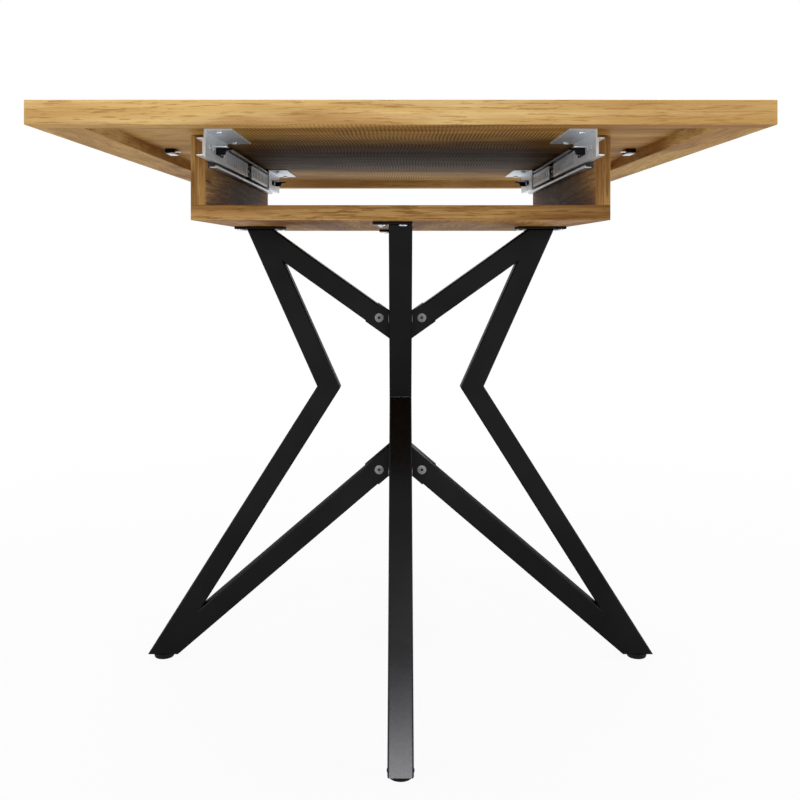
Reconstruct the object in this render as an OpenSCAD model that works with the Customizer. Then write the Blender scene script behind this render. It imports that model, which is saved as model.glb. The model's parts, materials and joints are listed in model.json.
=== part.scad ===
// Extending dining table: two top halves on geared ball slides over a leaf box,
// carried by four star-shaped steel leg frames bolted to a central hub.
// X runs across the table, Y is the way it extends, Z is up, millimetres.

/* [Table top] */
// Width of the top across the slides
top_w = 750; // [700:10:900]
// Length of the closed top along the slides
top_l = 1000; // [940:10:1300]
// Height of the top surface above the floor
table_h = 750; // [720:5:780]
// Thickness of the top seen at its edge
edge_t = 25; // [20:1:32]
// Thickness of the main boards
board_t = 11; // [10:1:14]
// Width of the thickening strip along each end
end_strip_w = 30; // [20:1:50]
// Width of the thickening strips along the sides
side_strip_w = 50; // [30:1:52]
// Gap between the two halves when closed
seam_gap = 0.6; // [0.4:0.1:1]

/* [Extension] */
// How far each half moves out
travel = 200; // [120:5:200]

/* [Leaf box] */
// Outer width of the box
box_w = 504; // [496:2:540]
// Length of the box
box_l = 580; // [570:2:640]
// Thickness of the box boards
box_t = 18; // [16:1:20]
// Height from the box floor to the underside of the top
store_h = 84; // [80:1:110]
// Gap between the side panels and the moving top
top_gap = 1.5; // [1:0.1:3]
// Diameter of the wooden dowels in the box
dowel_d = 8; // [6:1:10]

/* [Leg frames] */
// Side of the square tube
tube = 30; // [26:1:32]
// Wall of the square tube
tube_wall = 2; // [1.5:0.1:3]
// Distance of the outer bar from the middle at the top
leg_top_r = 209.5; // [204:0.5:216]
// Distance of the outer bar from the middle at its bend
leg_bend_r = 105.5; // [98:0.5:115]
// Height of the bend in the outer bar
leg_bend_z = 400.5; // [380:0.5:420]
// Distance of the outer bar from the middle at the foot
leg_foot_r = 353.5; // [330:0.5:375]
// Distance from the middle at which the upper arm reaches the top
arm_top_r = 214; // [206:0.5:220]
// Distance from the middle at which the lower arm reaches the foot
arm_foot_r = 350; // [330:0.5:352]
// Height at which the upper arms would meet in the middle
arm_up_z = 480.5; // [470:0.5:495]
// Height at which the lower arms would meet in the middle
arm_low_z = 306.3; // [290:0.5:320]
// Thickness of the steel plate that closes each foot
foot_plate_t = 4; // [3:0.5:6]

/* [Top plates of the legs] */
// Length of a plate away from the middle
plate_l = 71; // [66:1:80]
// Distance of a plate's inner end from the middle
plate_r = 173; // [168:1:176]
// Width of a plate
plate_w = 50; // [48:1:60]
// Thickness of a plate
plate_t = 4; // [3:0.5:6]

/* [Hub] */
// Side of the square centre post
post_w = 30; // [26:1:32]
// Wall of the centre post
post_wall = 2; // [1.5:0.1:3]
// Wall of the square sleeves that take the arms
sleeve_wall = 1; // [1:0.1:2.5]
// Reach of the sleeves from the middle
sleeve_r = 42.5; // [40:0.5:50]
// Distance of the hub bolts from the middle
hub_bolt_r = 31.2; // [29:0.1:33]
// Diameter of the hub's connector bolts
hub_bolt_d = 6; // [5:0.5:6]
// Outer diameter of the cap nuts that take these bolts
cap_nut_d = 8; // [7.8:0.1:9]
// Diameter of the flat heads of these bolts and nuts
hub_head_d = 13; // [12:0.5:14]
// Height of these flat heads
hub_head_h = 1.2; // [1:0.1:2]

/* [Glides] */
// Diameter of a glide at the tube
glide_top_d = 32; // [26:1:34]
// Diameter of a glide at the floor
glide_low_d = 28; // [18:1:30]
// Height of a glide
glide_h = 8; // [6:1:14]
// Distance of the glides from the middle
glide_r = 350; // [344:0.5:352]
// Diameter of a glide's stud
glide_stud_d = 8; // [6:1:10]

/* [Slides] */
// Height of the fixed rail
rail_h = 35; // [34:1:38]
// Depth of the fixed rail
rail_d = 10; // [9.8:0.1:11]
// Gap between the fixed rail and the moving top
rail_top_gap = 3; // [2:0.5:4]
// Half the length of the fixed rail
rail_half_l = 275; // [262:1:280]
// Sheet thickness of rail and runner
slide_sheet = 1.4; // [1.2:0.1:1.5]
// Height of the rail's in-turned lips
lip_h = 3.5; // [3:0.1:4]
// Height of the moving runner
runner_h = 20.6; // [20:0.1:21]
// Distance between the runner's inner end and the middle
runner_in = 22; // [20:1:30]
// Height of the slots in the runner
slot_h = 11; // [6:0.5:12]
// Width of the slots in the runner
slot_w = 6; // [4:0.5:8]
// Distance between the slots
slot_pitch = 17; // [14:1:24]
// Radius of the bearing balls
ball_r = 2.75; // [2.6:0.01:2.75]
// Distance between the balls
ball_pitch = 18; // [12:1:24]
// Length of a ball cage
cage_l = 126; // [100:1:130]

/* [Pinion and racks] */
// Tooth module
gear_m = 1; // [1:0.01:1.03]
// Number of pinion teeth
pinion_teeth = 10; // [10:2:10]
// Width of the pinion
pinion_w = 4.6; // [4:0.1:4.8]
// Diameter of the pinion's pin
pinion_pin_d = 3; // [2:0.5:3]

/* [Brackets] */
// Length of a bracket along the slide
bracket_l = 150; // [140:1:160]
// Distance of a bracket's outer end from the middle
bracket_out = 357; // [352:1:370]
// Leg of the bracket's angle
bracket_leg = 32; // [30:1:36]
// Sheet thickness of the bracket
bracket_t = 2; // [1.5:0.1:2.5]
// Diameter of the bracket screws
wood_screw_d = 4; // [3:0.5:5]
// Diameter of the bracket screws' heads
wood_screw_head_d = 8; // [7:0.5:9]

/* [Lock levers] */
// Length of a lever along the bracket
lever_l = 42; // [38:1:46]
// Height of a lever
lever_h = 8; // [6:0.5:9]
// Distance of the levers' outer ends from the middle
lever_out = 291; // [286:1:300]
// Reach of the finger tab from the bracket
tab_reach = 19.5; // [14:0.5:24]
// Distance of the levers' pins from the middle of the table
lever_pin_y = 264; // [260:1:268]
// Diameter of the levers' pins
lever_pin_d = 2; // [1.5:0.1:3]

/* [Seam fittings] */
// Width of a fitting
fitting_w = 12.5; // [11:0.5:20]
// Length of a fitting
fitting_l = 30; // [24:1:50]
// Height of a fitting's black block
fitting_h = 5.2; // [3:0.1:7]
// Distance of the fittings from the seam
fitting_y = 105; // [60:1:110]
// Distance of the fittings from the side strips
fitting_gap = 6.5; // [0:0.5:12]

/* [Hidden] */

$fn = 48;

// Named clearances; over is how far a cut runs past a face
over = 1;
screw_fit = 0.05;
pin_fit = 0.06;
hole_play = 0.3;
run_gap = 0.3;
touch_gap = 0.05;

// Colours
oak = [0.86, 0.72, 0.50];
oak_edge = [0.72, 0.56, 0.34];
black_steel = [0.13, 0.13, 0.14];
black_plastic = [0.05, 0.05, 0.05];
zinc = [0.75, 0.76, 0.78];
beech = [0.80, 0.66, 0.46];

// Levels from the top down
under_z = table_h - board_t;
strip_t = edge_t - board_t;
strip_z = table_h - edge_t;
floor_top_z = under_z - store_h;
floor_z = floor_top_z - box_t;
panel_top_z = under_z - top_gap;
leg_top_z = floor_z - plate_t;

// Halves of the top: a half reaches from the seam to its end
half_in = seam_gap / 2;
half_out = top_l / 2;

// Slide section, measured outwards from the table's middle
panel_in = box_w / 2 - box_t;
rail_in = panel_in - rail_d;
web_step = 0.5;
flange_gap = 1;
runner_web = rail_in - web_step;
bracket_face = runner_web - bracket_t;
slide_z = under_z - rail_top_gap - rail_h / 2;
rail_z0 = slide_z - rail_h / 2;
runner_z0 = slide_z - runner_h / 2;
rail_inner_h = rail_h / 2 - slide_sheet;
runner_flange_out = panel_in - slide_sheet - flange_gap;
channel_h = runner_h / 2 - slide_sheet;

// Rail screws
rail_screw_d = 4;
rail_screw_head_d = 7.5;
rail_screw_head_h = 1.2;
rail_screw_l = 13;
rail_screw_y = [65, 225];

// Ball cages lie between the runner's flanges and the rail's flanges
ball_z = (rail_inner_h + runner_h / 2) / 2;
ball_u = rail_in + rail_d / 2;
cage_w = 6.6;
cage_t = 0.8;
cage_stop = 3.5;
cage_rim = 1;
cage_mid = rail_half_l - cage_stop - cage_l / 2 - travel / 2;
cage_play = 0.1;
cage_balls = floor((cage_l - 2 * ball_r - 2 * cage_rim) / ball_pitch) + 1;

// Slots in the runner stop short of its inner end and of the bracket
slot_from_end = 18;
slot_from_bracket = 12;

// Gear: a ten-tooth pinion between an upper and a lower rack
gear_r = gear_m * pinion_teeth / 2;
rack_pitch = PI * gear_m;
tooth_add = 0.75 * gear_m;
tooth_ded = 1.05 * gear_m;
rack_back = channel_h - run_gap;
rack_u0 = runner_web + slide_sheet;
rack_w = 5;
rack_clear = 0.4;
rack_in = rack_u0 + rack_clear;
rack_foot_l = 98;
rack_past = 12;
rack_reach = travel + rack_past;
rack_first = -2;
rack_last = floor((rack_reach - rack_pitch / 2) / rack_pitch);
gap_tip = 0.4;
gap_root = 0.22;
tooth_root = 0.2;
tooth_mid = 0.19;
tooth_tip = 0.1;
pinion_clear = 0.5;
pinion_u0 = rack_in + pinion_clear;
pinion_pin_head_d = 5;
pinion_pin_head_h = 0.8;

// Brackets
bracket_in = bracket_out - bracket_l;
bracket_low_z = under_z - bracket_leg;
bracket_screw_end = 18;
bracket_screw_side = 14.5;
bracket_screw_y = [bracket_in + bracket_screw_end, bracket_out - bracket_screw_end];
bracket_screw_u = bracket_face + bracket_t - bracket_screw_side;
screw_head_h = 2.2;
screw_bite = 8;
rivet_from_in = 16;
rivet_from_out = [54, 30];
rivet_y = [bracket_in + rivet_from_in, bracket_out - rivet_from_out[0],
    bracket_out - rivet_from_out[1]];
rivet_r = 1.6;
rivet_head_r = 3.4;
rivet_tail_r = 2.4;
rivet_head_h = 1;
rivet_up = 2.5;
rivet_z = slide_z + rivet_up;
spare_hole_r = 2.2;
spare_hole_end = 12;
spare_hole_down = 5;
spare_hole_y = bracket_out - spare_hole_end;
spare_hole_z = slide_z - spare_hole_down;

// Levers lie on the bracket's inner face, under a bent lug
lever_t = 1.8;
lever_face = bracket_face - run_gap;
lever_down = 3;
lever_z0 = slide_z - lever_down;
lever_pin_up = 1;
lever_pin_z = slide_z + lever_pin_up;
lever_pin_head_d = 6;
lever_pin_head_h = 0.8;
tab_w = 6;
tab_body = 10;
tab_slope = 2;
tab_tip_h = 3;
tab_tip_t = 1.4;
lug_t = 1.5;
lug_w = 10;
lug_reach = 13;
lug_gap = 0.8;
lug_z = lever_z0 + lever_h + lug_gap;

// Seam dowels
seam_dowel_d = 6;
seam_dowel_l = 26;
seam_dowel_x = [-270, -135, 0, 135, 270];

// Seam fittings
fitting_plate_t = 2;
fitting_plate_w = 11;
fitting_pin_r = 1.4;
fitting_pin_l = 7.5;
fitting_pin_end = 6;
fitting_pin_y = fitting_y + fitting_l - fitting_pin_end;
fitting_z = under_z - fitting_h;
fitting_in = top_w / 2 - side_strip_w - fitting_gap - fitting_w;

// Leg frame geometry in its own plane: r outwards, z up
leg_low_z = glide_h;
arm_gap = 3;
arm_in_r = post_w / 2 + arm_gap;
plate_side = tube / 2;
plate_bolt_d = 6;
plate_bolt_head_d = 11;
plate_bolt_head_h = 2;
plate_bolt_bite = 12;
plate_bolt_socket_af = 4;
plate_bolt_in = 6.8;
plate_bolt_out = 8.4;
plate_bolt_mid = plate_w / 2 - plate_side;
plate_bolt_side = 13;

// Hub
sleeve_fit = 0.2;
sleeve_half = tube / 2 + sleeve_fit + sleeve_wall;
post_over = 26;
cap_nut_l = 15;
cap_nut_floor = 2.8;
cap_nut_spare = 2;
socket_af = 4;
socket_depth = 2.4;

// Box dowels
dowel_l = 30;
dowel_down = 13;
dowel_y = [-250, -90, 90, 250];

// A bar of width w from point a to point b, run on past both ends
module bar2d(a, b, w, past) {
    d = b - a;
    len = norm(d);
    translate(a)
        rotate(atan2(d[1], d[0]))
            translate([-past, -w / 2])
                square([len + 2 * past, w]);
}

// Direction of the upper and the lower arm, as rise per distance outwards
function arm_slope(up) = up ? (leg_top_z - arm_up_z) / arm_top_r
                            : (leg_low_z - arm_low_z) / arm_foot_r;
function arm_z(up, r) = (up ? arm_up_z : arm_low_z) + arm_slope(up) * r;
function arm_point(up, r) = [r, arm_z(up, r)];

// One edge of the outer bar, at a distance outwards from its middle line
function bar_side(side) =
    let (
        a = [leg_top_r, leg_top_z],
        b = [leg_bend_r, leg_bend_z],
        c = [leg_foot_r, leg_low_z],
        u = (b - a) / norm(b - a),
        v = (c - b) / norm(c - b),
        nu = [-u[1], u[0]],
        nv = [-v[1], v[0]],
        corner = b + side * (nu + nv) / (1 + nu * nv),
        top = a + side * nu - u * tube,
        low = c + side * nv + v * tube
    ) [top, corner, low];

module outer_bar2d(w) {
    s = bar_side(w / 2);
    t = bar_side(-w / 2);
    polygon([s[0], s[1], s[2], t[2], t[1], t[0]]);
}

// An arm ends where the outer bar's outer edge is
module arm2d(up, w) {
    s = bar_side(w / 2);
    intersection() {
        bar2d(arm_point(up, 0), arm_point(up, up ? arm_top_r : arm_foot_r), w, tube);
        polygon([[0, s[0][1]], s[0], s[1], s[2], [0, s[2][1]]]);
    }
}

// Puts a thing drawn in the r-z plane upright, centred across its thickness
module upright(t) {
    rotate([90, 0, 0])
        translate([0, 0, -t / 2])
            linear_extrude(t)
                children();
}

// Four square bars of width w, cut level at the plate and at the foot
module frame_bars(w, z0, z1, r0) {
    intersection() {
        union() {
            upright(w)
                outer_bar2d(w);
            for (up = [true, false])
                upright(w)
                    arm2d(up, w);
        }
        translate([r0, -tube, z0])
            cube([leg_foot_r + 2 * tube, 2 * tube, z1 - z0]);
    }
}

// Turns: a leg frame is drawn outwards along +X
module turned(where) {
    angle = where == "right" ? 0 : where == "rear" ? 90 : where == "left" ? 180 : 270;
    rotate([0, 0, angle])
        children();
}

module leg_frame(where) {
    color(black_steel)
        turned(where)
            difference() {
                frame_bars(tube, leg_low_z, leg_top_z, arm_in_r);
                frame_bars(tube - 2 * tube_wall, leg_low_z + foot_plate_t,
                    leg_top_z + over, arm_in_r - over);
                translate([glide_r, 0, leg_low_z - over])
                    cylinder(d = glide_stud_d + 2 * screw_fit, h = foot_plate_t + 2 * over);
                for (up = [true, false])
                    translate([hub_bolt_r, 0, arm_z(up, hub_bolt_r)])
                        rotate([90, 0, 0])
                            cylinder(d = cap_nut_d + 2 * hole_play, h = 2 * tube,
                                center = true);
            }
}

// A plate reaches past its tube on one side: to the rear on the side legs,
// to the left on the other two. The hub bolts' heads are on the other side.
function plate_way(where) = where == "left" || where == "front" ? -1 : 1;

module plate_place(where) {
    turned(where)
        scale_side(plate_way(where))
            children();
}

module scale_side(way) {
    if (way > 0)
        children();
    else
        mirror([0, 1, 0])
            children();
}

// Places of a plate's bolts: two at the outer end, one at the free inner corner
function plate_bolt_places() = [
    [plate_r + plate_l - plate_bolt_out, plate_bolt_mid - plate_bolt_side],
    [plate_r + plate_l - plate_bolt_out, plate_bolt_mid + plate_bolt_side],
    [plate_r + plate_bolt_in, plate_bolt_mid + plate_bolt_side]
];

module leg_plates() {
    color(black_steel)
        for (where = ["right", "rear", "left", "front"])
            plate_place(where)
                difference() {
                    translate([plate_r, -plate_side, leg_top_z])
                        cube([plate_l, plate_w, plate_t]);
                    for (p = plate_bolt_places())
                        translate([p[0], p[1], leg_top_z - over])
                            cylinder(d = plate_bolt_d + 2 * hole_play, h = plate_t + 2 * over);
                }
}

module plate_bolts() {
    color(zinc)
        for (where = ["right", "rear", "left", "front"])
            plate_place(where)
                for (p = plate_bolt_places())
                    translate([p[0], p[1], leg_top_z - plate_bolt_head_h])
                        difference() {
                            union() {
                                cylinder(d = plate_bolt_head_d, h = plate_bolt_head_h);
                                cylinder(d = plate_bolt_d,
                                    h = plate_bolt_head_h + plate_t + plate_bolt_bite);
                            }
                            translate([0, 0, -over])
                                cylinder(d = plate_bolt_socket_af / cos(30),
                                    h = over + plate_bolt_head_h / 2, $fn = 6);
                        }
}

module box_floor() {
    color(oak_edge)
        difference() {
            translate([-box_w / 2, -box_l / 2, floor_z])
                cube([box_w, box_l, box_t]);
            for (where = ["right", "rear", "left", "front"])
                plate_place(where)
                    for (p = plate_bolt_places())
                        translate([p[0], p[1], floor_z - over])
                            cylinder(d = plate_bolt_d + 2 * screw_fit,
                                h = over + plate_bolt_bite + hole_play);
            dowel_holes();
        }
}

module dowel_holes() {
    for (way = [-1, 1], y = dowel_y)
        translate([way * (box_w - box_t) / 2, y, floor_top_z - dowel_down])
            cylinder(d = dowel_d + 2 * screw_fit, h = dowel_l + hole_play);
}

module box_dowels() {
    color(beech)
        for (way = [-1, 1], y = dowel_y)
            translate([way * (box_w - box_t) / 2, y, floor_top_z - dowel_down])
                cylinder(d = dowel_d, h = dowel_l);
}

// Draws its children on the left, or mirrored on the right, outwards as +X
module on_side(side) {
    mirror([side == "left" ? 1 : 0, 0, 0])
        children();
}

// Draws its children towards the rear, or mirrored towards the front
module on_half(half) {
    mirror([0, half == "front" ? 1 : 0, 0])
        children();
}

module side_panel(side) {
    color(oak_edge)
        on_side(side)
            difference() {
                translate([panel_in, -box_l / 2, floor_top_z])
                    cube([box_t, box_l, panel_top_z - floor_top_z]);
                for (way = [-1, 1], y = rail_screw_y)
                    translate([panel_in - over, way * y, slide_z])
                        rotate([0, 90, 0])
                            cylinder(d = rail_screw_d + 2 * screw_fit,
                                h = over + rail_screw_l);
                for (y = dowel_y)
                    translate([panel_in + box_t / 2, y, floor_top_z - dowel_down])
                        cylinder(d = dowel_d + 2 * screw_fit, h = dowel_l + hole_play);
            }
}

// Section of the fixed rail, drawn as [out, up] and run along Y
module along_y(y0, y1) {
    translate([0, y1, 0])
        rotate([90, 0, 0])
            linear_extrude(y1 - y0)
                children();
}

module rail(side) {
    color(zinc)
        on_side(side)
            difference() {
                along_y(-rail_half_l, rail_half_l)
                    difference() {
                        translate([rail_in, rail_z0])
                            square([rail_d, rail_h]);
                        translate([rail_in + slide_sheet, rail_z0 + slide_sheet])
                            square([rail_d - 2 * slide_sheet, rail_h - 2 * slide_sheet]);
                        translate([rail_in - over, rail_z0 + lip_h])
                            square([2 * over + slide_sheet, rail_h - 2 * lip_h]);
                    }
                for (way = [-1, 1], y = rail_screw_y)
                    translate([panel_in - 2 * slide_sheet, way * y, slide_z])
                        rotate([0, 90, 0])
                            cylinder(d = rail_screw_d + 2 * hole_play, h = 4 * slide_sheet);
                translate([panel_in - 2 * slide_sheet, 0, slide_z])
                    rotate([0, 90, 0])
                        cylinder(d = pinion_pin_d + 2 * screw_fit, h = 4 * slide_sheet);
            }
}

// Screws through the rail's web into the side panels
module rail_screws() {
    color(zinc)
        for (side = ["left", "right"])
            on_side(side)
                for (way = [-1, 1], y = rail_screw_y)
                    translate([panel_in - slide_sheet, way * y, slide_z])
                        rotate([0, 90, 0]) {
                            translate([0, 0, -rail_screw_head_h])
                                cylinder(d = rail_screw_head_d, h = rail_screw_head_h);
                            cylinder(d = rail_screw_d, h = rail_screw_l);
                        }
}

// One ball strip, below (way -1) or above (way +1) the runner
module ball_row(side, way) {
    on_side(side)
        for (i = [0:cage_balls - 1])
            translate([ball_u, cage_mid + (i - (cage_balls - 1) / 2) * ball_pitch,
                    slide_z + way * ball_z])
                children();
}

module ball_cages(half) {
    color(black_plastic)
        on_half(half)
            for (side = ["left", "right"], way = [-1, 1])
                difference() {
                    on_side(side)
                        translate([ball_u - cage_w / 2, cage_mid - cage_l / 2,
                                slide_z + way * ball_z - cage_t / 2])
                            cube([cage_w, cage_l, cage_t]);
                    ball_row(side, way)
                        cylinder(r = ball_r + cage_play, h = 2 * ball_r, center = true);
                }
}

module balls(half) {
    color(zinc)
        on_half(half)
            for (side = ["left", "right"], way = [-1, 1])
                ball_row(side, way)
                    sphere(r = ball_r, $fn = 24);
}

module runner(side, half) {
    slots_l = bracket_in - slot_from_bracket - runner_in - slot_from_end;
    slots = floor(slots_l / slot_pitch) + 1;
    color(zinc)
        on_side(side)
            on_half(half)
                difference() {
                    along_y(runner_in, bracket_out)
                        difference() {
                            translate([runner_web, runner_z0])
                                square([runner_flange_out - runner_web, runner_h]);
                            translate([runner_web + slide_sheet, runner_z0 + slide_sheet])
                                square([runner_flange_out - runner_web, runner_h - 2 * slide_sheet]);
                        }
                    for (i = [0:slots - 1])
                        translate([runner_web - over,
                                runner_in + slot_from_end + i * slot_pitch - slot_w / 2,
                                slide_z - slot_h / 2])
                            cube([2 * over + slide_sheet, slot_w, slot_h]);
                    for (y = rivet_y)
                        translate([runner_web - over, y, rivet_z])
                            rotate([0, 90, 0])
                                cylinder(r = rivet_r + screw_fit, h = 2 * over + slide_sheet);
                }
}

// Outline of one gap between a rack's teeth, centred on y
function rack_gap(y) = [
    [y - rack_pitch * gap_tip, gear_r - tooth_add],
    [y - rack_pitch * gap_root, gear_r + tooth_ded],
    [y + rack_pitch * gap_root, gear_r + tooth_ded],
    [y + rack_pitch * gap_tip, gear_r - tooth_add]
];

// Upper rack of the front half: fixed in its runner, it reaches over the pinion
module rack_front_shape() {
    along_x(rack_in, rack_w)
        polygon(concat(
            [[-runner_in - rack_foot_l, rack_back],
             [-runner_in - rack_foot_l, gear_r - tooth_add]],
            [for (i = [rack_first:rack_last], p = rack_gap(i * rack_pitch)) p],
            [[rack_reach, gear_r - tooth_add],
             [rack_reach, rack_back]]));
    translate([rack_u0, -runner_in - rack_foot_l, slide_z + gear_r + tooth_ded])
        cube([rack_in - rack_u0 + over, rack_foot_l, rack_back - gear_r - tooth_ded]);
}

// Extrudes a [y, z] outline from x0 along X, with z counted from the slide's middle
module along_x(x0, t) {
    translate([x0, 0, slide_z])
        rotate([90, 0, 90])
            linear_extrude(t)
                children();
}

module rack(side, half) {
    color(zinc)
        on_side(side)
            translate([0, 0, slide_z])
                rotate([half == "front" ? 0 : 180, 0, 0])
                    translate([0, 0, -slide_z])
                        rack_front_shape();
}

// Outline of one pinion tooth that points along +Y, from root to root
function tooth() = [
    [-tooth_root * rack_pitch, gear_r - tooth_ded],
    [-tooth_mid * rack_pitch, gear_r],
    [-tooth_tip * rack_pitch, gear_r + tooth_add],
    [tooth_tip * rack_pitch, gear_r + tooth_add],
    [tooth_mid * rack_pitch, gear_r],
    [tooth_root * rack_pitch, gear_r - tooth_ded]
];

function turned_point(p, a) = [p[0] * cos(a) + p[1] * sin(a), p[1] * cos(a) - p[0] * sin(a)];

module pinion2d() {
    polygon([
        for (i = [0:pinion_teeth - 1], p = tooth())
            turned_point(p, i * 360 / pinion_teeth)
    ]);
}

module pinion(side) {
    color(black_plastic)
        on_side(side)
            along_x(pinion_u0, pinion_w)
                difference() {
                    pinion2d();
                    circle(d = pinion_pin_d + 2 * pin_fit);
                }
}

// Pin with a head before the pinion and a shoulder behind it, riveted into the rail
module pinion_pins() {
    head_u = pinion_u0 - run_gap;
    shoulder_u = pinion_u0 + pinion_w + run_gap;
    color(zinc)
        for (side = ["left", "right"])
            on_side(side)
                translate([0, 0, slide_z])
                    rotate([0, 90, 0]) {
                        translate([0, 0, head_u - pinion_pin_head_h])
                            cylinder(d = pinion_pin_head_d, h = pinion_pin_head_h);
                        translate([0, 0, head_u])
                            cylinder(d = pinion_pin_d, h = panel_in - head_u);
                        translate([0, 0, shoulder_u])
                            cylinder(d = pinion_pin_head_d,
                                h = panel_in - slide_sheet - shoulder_u);
                    }
}

module bracket(side, half) {
    color(zinc)
        on_side(side)
            on_half(half)
                difference() {
                    union() {
                        translate([bracket_face, bracket_in, bracket_low_z])
                            cube([bracket_t, bracket_l, bracket_leg]);
                        translate([bracket_face + bracket_t - bracket_leg, bracket_in,
                                under_z - bracket_t])
                            cube([bracket_leg, bracket_l, bracket_t]);
                        translate([bracket_face - lug_reach, lever_out - lug_w, lug_z])
                            cube([lug_reach + over, lug_w, lug_t]);
                    }
                    for (y = bracket_screw_y)
                        translate([bracket_screw_u, y, under_z - 2 * bracket_t])
                            cylinder(d = wood_screw_d + 2 * hole_play, h = 3 * bracket_t);
                    for (y = rivet_y)
                        translate([bracket_face - over, y, rivet_z])
                            rotate([0, 90, 0])
                                cylinder(r = rivet_r + screw_fit, h = bracket_t + 2 * over);
                    translate([bracket_face - over, lever_pin_y, lever_pin_z])
                        rotate([0, 90, 0])
                            cylinder(d = lever_pin_d + 2 * screw_fit, h = bracket_t + 2 * over);
                    translate([bracket_face - over, spare_hole_y, spare_hole_z])
                        rotate([0, 90, 0])
                            cylinder(r = spare_hole_r, h = bracket_t + 2 * over);
                }
}

module bracket_screws(half) {
    color(zinc)
        for (side = ["left", "right"])
            on_side(side)
                on_half(half)
                    for (y = bracket_screw_y)
                        translate([bracket_screw_u, y, under_z - bracket_t - screw_head_h]) {
                            cylinder(d = wood_screw_head_d, h = screw_head_h);
                            cylinder(d = wood_screw_d, h = screw_head_h + bracket_t + screw_bite);
                        }
}

module rivets(half) {
    color(zinc)
        for (side = ["left", "right"])
            on_side(side)
                on_half(half)
                    for (y = rivet_y)
                        translate([bracket_face, y, rivet_z])
                            rotate([0, 90, 0]) {
                                translate([0, 0, -rivet_head_h])
                                    cylinder(r = rivet_head_r, h = rivet_head_h);
                                cylinder(r = rivet_r, h = bracket_t + slide_sheet);
                                translate([0, 0, bracket_t + slide_sheet])
                                    cylinder(r = rivet_tail_r, h = rivet_head_h);
                            }
}

module lever(side, half) {
    color(black_plastic)
        on_side(side)
            on_half(half)
                difference() {
                    union() {
                        translate([lever_face - lever_t, lever_out - lever_l, lever_z0])
                            cube([lever_t, lever_l, lever_h]);
                        translate([0, lever_out, 0])
                            rotate([90, 0, 0])
                                linear_extrude(tab_w)
                                    polygon([
                                        [lever_face, lever_z0],
                                        [lever_face, lever_z0 + lever_h],
                                        [lever_face - tab_reach, lever_z0 + lever_h],
                                        [lever_face - tab_reach, lever_z0 + lever_h - tab_tip_t],
                                        [lever_face - tab_body - tab_slope,
                                            lever_z0 + lever_h - tab_tip_h],
                                        [lever_face - tab_body, lever_z0]
                                    ]);
                    }
                    translate([lever_face - lever_t - over, lever_pin_y, lever_pin_z])
                        rotate([0, 90, 0])
                            cylinder(d = lever_pin_d + 2 * pin_fit, h = lever_t + 2 * over);
                }
}

module lever_pins(half) {
    color(zinc)
        for (side = ["left", "right"])
            on_side(side)
                on_half(half)
                    translate([lever_face - lever_t - run_gap, lever_pin_y, lever_pin_z])
                        rotate([0, 90, 0]) {
                            translate([0, 0, -lever_pin_head_h])
                                cylinder(d = lever_pin_head_d, h = lever_pin_head_h);
                            cylinder(d = lever_pin_d, h = lever_t + 2 * run_gap + bracket_t);
                        }
}

module top_board(half) {
    color(oak)
        difference() {
            on_half(half)
                difference() {
                    translate([-top_w / 2, half_in, under_z])
                        cube([top_w, half_out - half_in, board_t]);
                    for (way = [-1, 1], y = bracket_screw_y)
                        translate([way * bracket_screw_u, y, under_z - over])
                            cylinder(d = wood_screw_d + 2 * screw_fit,
                                h = over + screw_bite + hole_play);
                }
            for (x = seam_dowel_x)
                translate([x, 0, under_z + board_t / 2])
                    rotate([90, 0, 0])
                        cylinder(d = seam_dowel_d + 2 * (half == "front" ? screw_fit : hole_play),
                            h = seam_dowel_l + 2 * hole_play, center = true);
        }
}

module seam_dowels() {
    color(beech)
        for (x = seam_dowel_x)
            translate([x, 0, under_z + board_t / 2])
                rotate([90, 0, 0])
                    cylinder(d = seam_dowel_d, h = seam_dowel_l, center = true);
}

module end_strip(half) {
    color(oak_edge)
        on_half(half)
            translate([-top_w / 2, half_out - end_strip_w, strip_z])
                cube([top_w, end_strip_w, strip_t]);
}

module side_strip(side, half) {
    color(oak_edge)
        on_side(side)
            on_half(half)
                translate([top_w / 2 - side_strip_w, half_in, strip_z])
                    cube([side_strip_w, half_out - half_in - end_strip_w, strip_t]);
}

module fitting_blocks(half) {
    color(black_plastic)
        for (side = ["left", "right"])
            on_side(side)
                on_half(half)
                    translate([fitting_in, fitting_y, fitting_z])
                        cube([fitting_w, fitting_l, fitting_h]);
}

module fitting_plates(half) {
    color(zinc)
        for (side = ["left", "right"])
            on_side(side)
                on_half(half) {
                    translate([fitting_in, fitting_y, fitting_z - fitting_plate_t])
                        cube([fitting_plate_w, fitting_l, fitting_plate_t]);
                    translate([fitting_in - fitting_pin_l, fitting_pin_y,
                            fitting_z + fitting_pin_r])
                        rotate([0, 90, 0])
                            cylinder(r = fitting_pin_r, h = fitting_pin_l);
                }
}

// The hub: a square post with eight sleeves welded to its sides
module hub_post() {
    low = arm_z(false, post_w / 2) - post_over;
    high = arm_z(true, post_w / 2) + post_over;
    color(black_steel)
        translate([0, 0, low])
            difference() {
                translate([-post_w / 2, -post_w / 2, 0])
                    cube([post_w, post_w, high - low]);
                translate([-post_w / 2 + post_wall, -post_w / 2 + post_wall, -over])
                    cube([post_w - 2 * post_wall, post_w - 2 * post_wall, high - low + 2 * over]);
            }
}

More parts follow.
